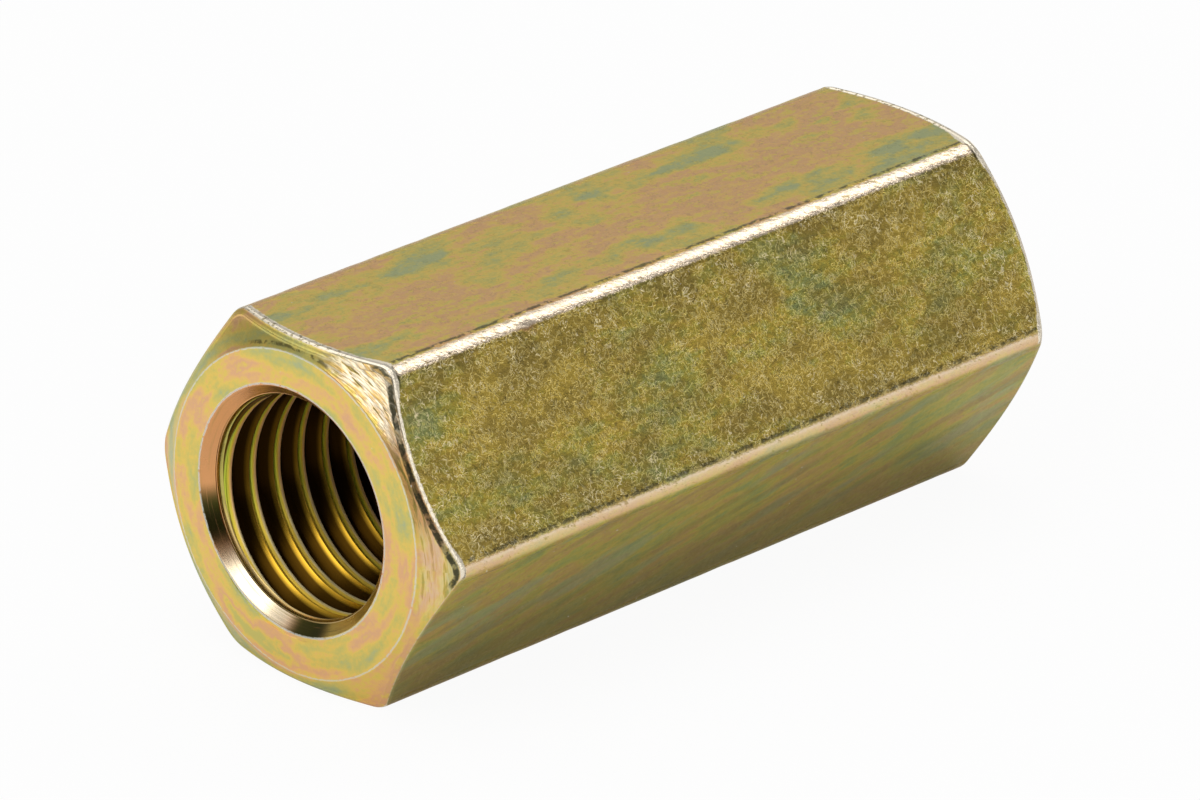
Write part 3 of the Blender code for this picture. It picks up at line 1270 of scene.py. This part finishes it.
    def chamfer(self) -> list[Coat]:
        """Wears the chamfer: rays at the upper front corner, and torn copper beside them.

        Returns:
            Each coat: how much of it lies where, and its colour.
        """
        graph, zones, finish = self.graph, self.zones, self.finish
        worn = zones.sector(finish.worn_sector)
        knocked = worn + zones.sector(finish.left_worn_sector) * 0.35
        fan = zones.cone * knocked * graph.rise(zones.radius + self.jag, *finish.fan_edge)
        ruddy = zones.cone * zones.sector(finish.torn_sector) * (1 - worn)
        torn = graph.mix(graph.rise(self.flow, *finish.torn_edge), finish.copper, finish.moss)
        rays = graph.ramp(self.flow, finish.ray_stops)
        return [(fan * finish.fan_share, rays), (ruddy * finish.torn_share, torn)]

    def seams(self) -> list[Coat]:
        """Paints shade into the seams, the groove inside the lip, the chipped arc and the valley at one
        corner.

        Returns:
            Each coat: how much of it lies where, and its colour.
        """
        graph, zones, finish, upper = self.graph, self.zones, self.finish, self.upper
        above = zones.band(self.lean, finish.upper_seam) * upper
        seam = above + zones.band(zones.lean, finish.lower_seam) * (1 - upper) * 0.5
        seam = seam * zones.band(zones.from_corner + self.jag, finish.seam_place)
        seam = seam * zones.flats * self.front * self.breaks
        groove = zones.band(zones.inside + self.jag * 0.45, finish.groove) * zones.cone
        groove = groove * zones.beside(Flat.FRONT)
        chip = zones.band(zones.radius + self.jag * 0.35, finish.chip) * zones.cone
        chip = chip * zones.sector(finish.chip_sector)
        valley = zones.band(zones.beyond_cone + self.jag * 0.5, finish.valley)
        valley = valley * zones.sector(finish.valley_sector)
        valley = valley * graph.rise(zones.radius, *finish.valley_reach)
        # Painted shade: near-black in the seams, the groove, the valley and the chipped arc
        dark = seam * 0.8 + groove * (self.breaks * 0.45 + 0.5) + valley * 0.8 + chip * self.breaks * 0.7
        return [(graph.math("MINIMUM", dark, 1.0), finish.soot_and_shade)]

    def lips(self) -> list[Coat]:
        """Paints a highlight on the lips, chipped on the top flat, and bares the zinc at the rims.

        Returns:
            Each coat: how much of it lies where, and its colour.
        """
        graph, zones, finish = self.graph, self.zones, self.finish
        chipped = graph.spots(zones.place, finish.chips) * zones.on(Flat.TOP)
        chipped = chipped * graph.rise(zones.sector(finish.lip_sector), 1.0, 0.0)
        return [
            (self.lip, finish.lip_highlight_cream),
            (self.lip * chipped * finish.chipped_share, finish.umber_and_shade),
            (self.bare, finish.silver),
        ]

    def base_colour(self) -> Any:
        """The film with each coat laid over it in order.

        Returns:
            The colour.
        """
        flats = self.tarnish() + self.lines()
        bore = self.threaded() + self.mouth()
        edges = self.corners() + self.chamfer() + self.seams() + self.lips()
        colour = self.film()
        for share, paint in flats + bore + edges:
            colour = self.graph.mix(share, colour, paint)
        return colour

    def roughness(self) -> Signal:
        """The plating's roughness.

        Returns:
            The roughness, lower along the corners and in the bore, higher on the crests and the face.
        """
        graph, zones = self.graph, self.zones
        patches = graph.swing(zones.place, self.finish.matt)
        corner = graph.rise(zones.from_corner, 0.9, 0.6) * zones.flats
        outside = self.finish.base_roughness + patches * 0.12 - corner * 0.08
        return outside - zones.bore * 0.08 + zones.crest * 0.12 + zones.face * 0.05

    def metallic(self) -> Signal:
        """How metallic the surface is: the crests, the lips and the rubbed edges also scatter light."""
        return 1 - self.zones.crest * 0.45 - self.bare * 0.5 - self.lip * 0.12

    def relief(self) -> Signal:
        """The surface's fine relief.

        Returns:
            The height in millimetres.
        """
        graph, zones, finish, crinkled = self.graph, self.zones, self.finish, self.crinkled
        worms = self.glints + self.fine_lines
        folds = graph.swing(zones.place, finish.folds)
        tooth = graph.swing(zones.place, finish.tooth)
        corner = graph.rise(zones.from_corner, 1.1, 0.7) * zones.flats
        turning = graph.swing(zones.place, finish.turning)
        outside = 1 - zones.bore
        plain = outside * (1 - crinkled)
        bead = graph.rise(abs(zones.beyond_cone - 0.26), 0.24, 0.0) * self.near_rim
        line, fold = finish.crinkle_heights
        plain_line, plain_fold = finish.plain_heights
        return (
            crinkled * (worms * line + folds * fold)
            + tooth * outside * finish.tooth_height
            + (folds * plain_fold + worms * plain_line) * plain * (1 - zones.face * 0.7)
            + (self.strokes - 0.5) * corner * finish.stroke_height
            + bead * zones.flats * (1 - crinkled * 0.5 - self.underside * 0.9) * finish.bead_height
            + self.flow * zones.cone * zones.sector(finish.worn_sector) * finish.ray_height
            + turning * zones.bore * finish.turning_height
        )

    def join(self) -> None:
        """Joins the colour, the gloss and the relief in one shader."""
        graph = self.graph
        height = {"Height": self.relief(), "Distance": MM, "Strength": 1.0}
        bump = graph.node("ShaderNodeBump", None, height)
        surface = {
            "Base Color": self.base_colour(),
            "Roughness": self.roughness(),
            "Metallic": self.metallic(),
            "Normal": bump.outputs["Normal"],
        }
        shader = graph.node("ShaderNodeBsdfPrincipled", None, surface)
        graph.node("ShaderNodeOutputMaterial", None, {"Surface": shader.outputs["BSDF"]})


@dataclass
class DeepHexNut:
    """The nut: the bar with its countersinks and thread cut."""

    bar: HexBar = field(default_factory=HexBar)
    thread: Thread = field(default_factory=Thread)
    sink: Countersink = field(default_factory=Countersink)
    finish: YellowZinc = field(default_factory=YellowZinc)
    sharp_angle: float = math.radians(40)
    shortest_edge: float = 0.0005 * MM
    squareness: float = 0.99999

    def add(self, name: str, bm: bmesh.types.BMesh) -> bpy.types.Object:
        """Turns a bmesh into a linked object with its faces pointing out.

        Args:
            name: The object's name.
            bm: The mesh, which is freed.

        Returns:
            The object.
        """
        bmesh.ops.recalc_face_normals(bm, faces=bm.faces)
        mesh = bpy.data.meshes.new(name)
        bm.to_mesh(mesh)
        bm.free()
        obj = bpy.data.objects.new(name, mesh)
        bpy.context.scene.collection.objects.link(obj)
        return obj

    def machine(self, body: bpy.types.Object, steps: Iterable[tuple[str, bpy.types.Object]]) -> None:
        """Takes each tool out of the body, or adds it, for good.

        Args:
            body: The object that is worked on.
            steps: The Boolean operation and the tool of each step, in order.
        """
        tools = [tool for _, tool in steps]
        for operation, tool in steps:
            modifier = body.modifiers.new(tool.name, "BOOLEAN")
            modifier.operation = operation
            modifier.solver = "EXACT"
            modifier.object = tool
        graph = bpy.context.evaluated_depsgraph_get()
        mesh = bpy.data.meshes.new_from_object(body.evaluated_get(graph))
        body.modifiers.clear()
        body.data = mesh
        for tool in tools:
            bpy.data.objects.remove(tool, do_unlink=True)

    def clean(self, mesh: bpy.types.Mesh) -> None:
        """Takes out what the cuts left with no area, and shades the mesh.

        Args:
            mesh: The nut's mesh.
        """
        bm = bmesh.new()
        bm.from_mesh(mesh)
        bmesh.ops.dissolve_degenerate(bm, dist=self.shortest_edge, edges=bm.edges)
        for face in bm.faces:
            plain = abs(face.normal.x) > self.squareness and len(face.verts) > 4
            face.smooth = not plain
        open_edges = sum(not edge.is_manifold for edge in bm.edges)
        log.info("nut: %d faces, %d open edges", len(bm.faces), open_edges)
        bm.to_mesh(mesh)
        bm.free()
        mesh.set_sharp_from_angle(angle=self.sharp_angle)

    def plating(self) -> bpy.types.Material:
        """The finish as a material, placed by the nut's own sizes.

        Returns:
            The material.
        """
        material = bpy.data.materials.new("yellow_zinc")
        material.use_nodes = True
        zones = Zones(Graph(material.node_tree), self.bar, self.thread, self.sink)
        Plating(zones, self.finish).join()
        return material

    def build(self) -> bpy.types.Object:
        """Builds, dresses and places the nut.

        Returns:
            The finished piece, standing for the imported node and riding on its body.
        """
        nut = self.add("long_nut_body", self.bar.mesh())
        half = self.bar.half
        ledge, cone = self.sink.ledge, self.sink.mesh
        steps = [("DIFFERENCE", self.add("tap", self.thread.tap(self.bar.length, self.sink.overrun)))]
        steps += [("UNION", self.add(f"ledge_{side.name}", ledge(half, side))) for side in Side]
        steps += [("DIFFERENCE", self.add(f"sink_{side.name}", cone(half, side))) for side in Side]
        self.machine(nut, steps)
        self.clean(nut.data)
        nut.data.materials.clear()
        nut.data.materials.append(self.plating())
        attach(nut, "root")
        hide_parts("deep_hex_nut")
        return nut


@dataclass(frozen=True)
class Softbox:
    """One square lamp that faces the nut."""

    name: str
    towards: tuple[float, float, float]
    distance: float
    size: tuple[float, float]
    radiance: float
    colour: Colour = (1.0, 1.0, 1.0)

    def add(self) -> bpy.types.Object:
        """Adds the lamp, at the power that gives its face the stated radiance.

        Returns:
            The lamp's object.
        """
        lamp = bpy.data.lights.new(self.name, "AREA")
        lamp.shape = "RECTANGLE"
        lamp.size, lamp.size_y = self.size
        lamp.energy = self.radiance * math.pi * self.size[0] * self.size[1]
        lamp.color = self.colour
        obj = bpy.data.objects.new(self.name, lamp)
        direction = Vector(self.towards).normalized()
        obj.location = direction * self.distance
        obj.rotation_mode = "QUATERNION"
        obj.rotation_quaternion = direction.to_track_quat("Z", "Y")
        obj.visible_camera = False
        bpy.context.scene.collection.objects.link(obj)
        return obj


@dataclass(frozen=True)
class Glow:
    """A soft patch of the room: brighter, or with a strength below nought darker, than the rest of it."""

    towards: tuple[float, float, float]
    edge: float
    core: float
    strength: float


@dataclass
class Studio:
    """The pale floor, the soft light and the camera."""

    floor_radius: float = 3.0
    floor_colour: Colour = (0.85, 0.85, 0.85)
    camera_white: float = 0.94
    gloss_white: float = 0.12
    azimuth: float = math.radians(-46.243)
    elevation: float = math.radians(24.251)
    roll: float = math.radians(1.527)
    distance: float = 637.4 * MM
    sideways: float = -0.574 * MM
    upward: float = -0.647 * MM
    lens: float = 317.2
    room_level: float = 0.42
    glows: tuple[Glow, ...] = (
        Glow((0.0, 0.35, 0.94), 0.72, 0.95, 0.84),
        Glow((0.66, 0.63, 0.41), 0.80, 0.98, 0.12),
        Glow((0.66, -0.74, 0.12), 0.985, 0.998, 0.6),
        Glow((0.66, -0.67, 0.34), 0.93, 0.99, -0.05),
        Glow((-0.2, -0.85, 0.48), 0.87, 0.96, 0.9),
        Glow((-0.93, -0.32, 0.13), 0.80, 0.95, -0.40),
        Glow((-0.34, 0.87, 0.36), 0.86, 0.96, -0.12),
        Glow((0.66, -0.41, 0.63), 0.88, 0.97, -0.15),
    )
    lamps: tuple[Softbox, ...] = (
        Softbox("overhead_box", (0.66, -0.10, 0.74), 0.6, (0.24, 0.24), 1.8),
        Softbox("left_box", (-0.79, 0.02, 0.61), 0.6, (0.36, 0.36), 2.4),
    )

    def floor(self) -> bpy.types.Object:
        """Adds the floor that the nut lies on.

        Returns:
            The floor, a wide disc.
        """
        bm = bmesh.new()
        bmesh.ops.create_circle(bm, cap_ends=True, radius=self.floor_radius, segments=64)
        mesh = bpy.data.meshes.new("floor")
        bm.to_mesh(mesh)
        bm.free()
        floor = bpy.data.objects.new("floor", mesh)
        floor.location.z = CAD_BOX[0].z
        bpy.context.scene.collection.objects.link(floor)
        mesh.materials.append(self.floor_material())
        return floor

    def floor_material(self) -> bpy.types.Material:
        """The floor's matt white.

        Returns:
            A material that the camera and reflections see nearly white, with the nut's shadow kept.
        """
        material = bpy.data.materials.new("pale_floor")
        material.use_nodes = True
        graph = Graph(material.node_tree)
        rays = graph.node("ShaderNodeLightPath").outputs
        camera = Signal(graph, rays["Is Camera Ray"])
        gloss = Signal(graph, rays["Is Glossy Ray"]) + Signal(graph, rays["Is Transmission Ray"])
        matt = graph.node("ShaderNodeBsdfDiffuse", None, {"Color": self.floor_colour})
        white = graph.node("ShaderNodeEmission", None, {"Color": (1.0, 1.0, 1.0), "Strength": 1.0})
        share = camera * self.camera_white + gloss * self.gloss_white
        mixed = graph.node("ShaderNodeMixShader", None, {0: share, 1: matt.outputs[0], 2: white.outputs[0]})
        graph.node("ShaderNodeOutputMaterial", None, {"Surface": mixed.outputs[0]})
        return material

    def world(self) -> None:
        """A soft room with its brighter and darker patches, plain white to the camera."""
        world = bpy.data.worlds.new("studio")
        world.use_nodes = True
        bpy.context.scene.world = world
        graph = Graph(world.node_tree)
        way = graph.node("ShaderNodeTexCoord").outputs["Generated"]
        level: Operand = self.room_level
        for glow in self.glows:
            towards = Vector(glow.towards).normalized()
            facing = graph.node("ShaderNodeVectorMath", {"operation": "DOT_PRODUCT"}, {0: way, 1: towards})
            aim = Signal(graph, facing.outputs["Value"])
            level = level + graph.rise(aim, glow.edge, glow.core) * glow.strength
        level = graph.math("MAXIMUM", level, 0.0)
        camera = Signal(graph, graph.node("ShaderNodeLightPath").outputs["Is Camera Ray"])
        level = level * (1 - camera) + camera
        shade = graph.node("ShaderNodeBackground", None, {"Color": (1.0, 1.0, 1.0), "Strength": level})
        graph.node("ShaderNodeOutputWorld", None, {"Surface": shade.outputs[0]})

    def camera(self) -> bpy.types.Object:
        """Adds the camera at the photograph's viewing angle.

        Returns:
            The camera's object.
        """
        data = bpy.data.cameras.new("camera")
        data.sensor_width = 36.0
        data.lens = self.lens
        data.clip_start, data.clip_end = 0.05, 20.0
        camera = bpy.data.objects.new("camera", data)
        turn, rise = self.azimuth, self.elevation
        back = Vector((math.sin(turn) * math.cos(rise), -math.cos(turn) * math.cos(rise), math.sin(rise)))
        right = Vector((math.cos(turn), math.sin(turn), 0.0))
        up = back.cross(right)
        rolled_right = right * math.cos(self.roll) + up * math.sin(self.roll)
        rolled_up = up * math.cos(self.roll) - right * math.sin(self.roll)
        place = back * self.distance + rolled_right * self.sideways + rolled_up * self.upward
        basis = Matrix((rolled_right, rolled_up, back)).transposed()
        camera.matrix_world = Matrix.Translation(place) @ basis.to_4x4()
        bpy.context.scene.collection.objects.link(camera)
        bpy.context.scene.camera = camera
        return camera

    def build(self) -> None:
        """Adds the floor, the world, the lamps and the camera."""
        self.floor()
        self.world()
        for lamp in self.lamps:
            lamp.add()
        self.camera()


def main() -> None:
    """Builds the nut and its studio."""
    logging.basicConfig(level=logging.INFO, format="%(name)s: %(message)s")
    nut = DeepHexNut().build()
    nut.data.calc_loop_triangles()
    counts = len(nut.data.vertices), len(nut.data.loop_triangles)
    log.info("%s: %d vertices, %d triangles", nut.name, *counts)
    Studio().build()
    bpy.context.scene.view_settings.view_transform = "Standard"


if __name__ == "__main__":
    main()
